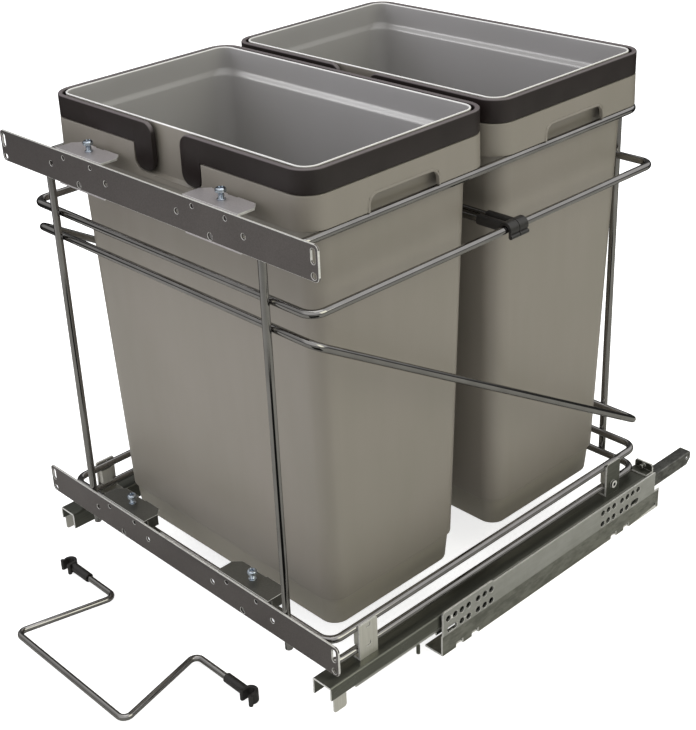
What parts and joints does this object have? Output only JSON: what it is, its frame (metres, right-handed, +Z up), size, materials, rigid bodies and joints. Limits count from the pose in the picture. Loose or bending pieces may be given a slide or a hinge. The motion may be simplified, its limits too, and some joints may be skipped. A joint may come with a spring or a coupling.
{
  "type": "pull out trash cabinet",
  "caption": "Pull-out waste unit for a kitchen base cabinet: lift-out grey bins in a chrome wire frame on full-extension runners, with perforated plates for the door.",
  "frame": {"origin": "centre of the whole object's footprint on the cabinet floor", "axes": "+X to the right seen from the door, +Y from the door to the rear of the cabinet, +Z up"},
  "size_m": [0.416, 0.6506, 0.477],
  "materials": {
    "bin_plastic": "moulded grey polypropylene, satin",
    "ring_plastic": "moulded dark brown-grey plastic",
    "chrome_wire": "dark chrome-plated steel wire",
    "door_plate_steel": "grey metallic lacquer on steel",
    "upper_bracket_steel": "light grey lacquer on steel",
    "lower_bracket_steel": "dark grey lacquer on steel",
    "runner_steel": "dark grey-green coated steel",
    "zinc_steel": "zinc-plated rolled steel",
    "bright_zinc": "bright zinc-plated steel",
    "screw_zinc": "bright blue zinc-plated steel",
    "clip_plastic": "black moulded nylon",
    "cage_plastic": "white acetal",
    "roller_steel": "ground steel"
  },
  "bodies": {
    "cabinet_side": {"cabinet_bracket_left": "zinc_steel", "cabinet_bracket_right": "zinc_steel", "cabinet_rail_left": "zinc_steel", "cabinet_rail_right": "zinc_steel"},
    "pull_out_frame": {"drawer_member_left": "runner_steel", "rear_hook_left": "runner_steel", "front_hook_left": "bright_zinc", "front_base_plate_left": "bright_zinc", "rear_base_plate_left": "runner_steel", "front_post_left": "chrome_wire", "rear_post_left": "chrome_wire", "upper_door_bracket_left": "upper_bracket_steel", "lower_door_bracket_left": "lower_bracket_steel", "drawer_member_right": "runner_steel", "rear_hook_right": "runner_steel", "front_hook_right": "bright_zinc", "front_base_plate_right": "bright_zinc", "rear_base_plate_right": "runner_steel", "front_post_right": "chrome_wire", "rear_post_right": "chrome_wire", "upper_door_bracket_right": "upper_bracket_steel", "lower_door_bracket_right": "lower_bracket_steel", "spacer_blocks": "bright_zinc", "lower_base_ring": "chrome_wire", "upper_base_ring": "chrome_wire", "tilted_hoop": "chrome_wire", "middle_hoop": "chrome_wire", "top_support_wire": "chrome_wire", "upper_door_plate": "door_plate_steel", "lower_door_plate": "door_plate_steel", "adjusting_screws": "screw_zinc", "nut_blocks": "bright_zinc"},
    "middle_left": {"middle_member_left": "zinc_steel", "middle_pin_left": "bright_zinc"},
    "middle_right": {"middle_member_right": "zinc_steel", "middle_pin_right": "bright_zinc"},
    "lower_cage_body_left": {"lower_cage_left": "cage_plastic", "lower_rollers_left": "roller_steel"},
    "lower_cage_body_right": {"lower_cage_right": "cage_plastic", "lower_rollers_right": "roller_steel"},
    "upper_cage_body_left": {"upper_cage_left": "cage_plastic", "upper_rollers_left": "roller_steel"},
    "upper_cage_body_right": {"upper_cage_right": "cage_plastic", "upper_rollers_right": "roller_steel"},
    "front_bin_body": {"front_bin": "bin_plastic"},
    "rear_bin_body": {"rear_bin": "bin_plastic"},
    "front_ring_body": {"front_bag_ring": "ring_plastic"},
    "rear_ring_body": {"rear_bag_ring": "ring_plastic"},
    "mounted_divider": {"mounted_divider_wire": "chrome_wire", "mounted_clip_left": "clip_plastic", "mounted_clip_right": "clip_plastic"},
    "second_divider": {"second_divider_wire": "chrome_wire", "second_clip_left": "clip_plastic", "second_clip_right": "clip_plastic"},
    "loose_divider": {"loose_divider_wire": "chrome_wire", "loose_clip_left": "clip_plastic", "loose_clip_right": "clip_plastic"}
  },
  "joints": [
    {"name": "pull_out", "type": "slide", "parent": "cabinet_side", "child": "pull_out_frame", "axis": [0, -1, 0], "range_m": [-0.055, 0.34]},
    {"name": "middle_left_slide", "type": "slide", "parent": "cabinet_side", "child": "middle_left", "axis": [0, -1, 0], "range_m": [-0.0277, 0.1702]},
    {"name": "lower_cage_left_slide", "type": "slide", "parent": "cabinet_side", "child": "lower_cage_body_left", "axis": [0, -1, 0], "range_m": [-0.01395, 0.0852]},
    {"name": "upper_cage_left_slide", "type": "slide", "parent": "cabinet_side", "child": "upper_cage_body_left", "axis": [0, -1, 0], "range_m": [-0.04145, 0.2552]},
    {"name": "middle_right_slide", "type": "slide", "parent": "cabinet_side", "child": "middle_right", "axis": [0, -1, 0], "range_m": [-0.0277, 0.1702]},
    {"name": "lower_cage_right_slide", "type": "slide", "parent": "cabinet_side", "child": "lower_cage_body_right", "axis": [0, -1, 0], "range_m": [-0.01395, 0.0852]},
    {"name": "upper_cage_right_slide", "type": "slide", "parent": "cabinet_side", "child": "upper_cage_body_right", "axis": [0, -1, 0], "range_m": [-0.04145, 0.2552]},
    {"name": "front_bin_lift", "type": "slide", "parent": "pull_out_frame", "child": "front_bin_body", "axis": [0, 0, 1], "range_m": [0, 0.4]},
    {"name": "front_ring_lift", "type": "slide", "parent": "front_bin_body", "child": "front_ring_body", "axis": [0, 0, 1], "range_m": [0, 0.06]},
    {"name": "rear_bin_lift", "type": "slide", "parent": "pull_out_frame", "child": "rear_bin_body", "axis": [0, 0, 1], "range_m": [0, 0.4]},
    {"name": "rear_ring_lift", "type": "slide", "parent": "rear_bin_body", "child": "rear_ring_body", "axis": [0, 0, 1], "range_m": [0, 0.06]},
    {"name": "mounted_divider_lift", "type": "slide", "parent": "pull_out_frame", "child": "mounted_divider", "axis": [0, 0, 1], "range_m": [0, 0.03]},
    {"name": "second_divider_lift", "type": "slide", "parent": "pull_out_frame", "child": "second_divider", "axis": [0, 0, 1], "range_m": [0, 0.03]},
    {"name": "loose_divider_lift", "type": "slide", "parent": "cabinet_side", "child": "loose_divider", "axis": [0, 0, 1], "range_m": [0, 0.03]}
  ],
  "couplings": [
    {"joint": "middle_left_slide", "follows": "pull_out", "ratio": 0.5},
    {"joint": "lower_cage_left_slide", "follows": "pull_out", "ratio": 0.25},
    {"joint": "upper_cage_left_slide", "follows": "pull_out", "ratio": 0.75},
    {"joint": "middle_right_slide", "follows": "pull_out", "ratio": 0.5},
    {"joint": "lower_cage_right_slide", "follows": "pull_out", "ratio": 0.25},
    {"joint": "upper_cage_right_slide", "follows": "pull_out", "ratio": 0.75}
  ]
}
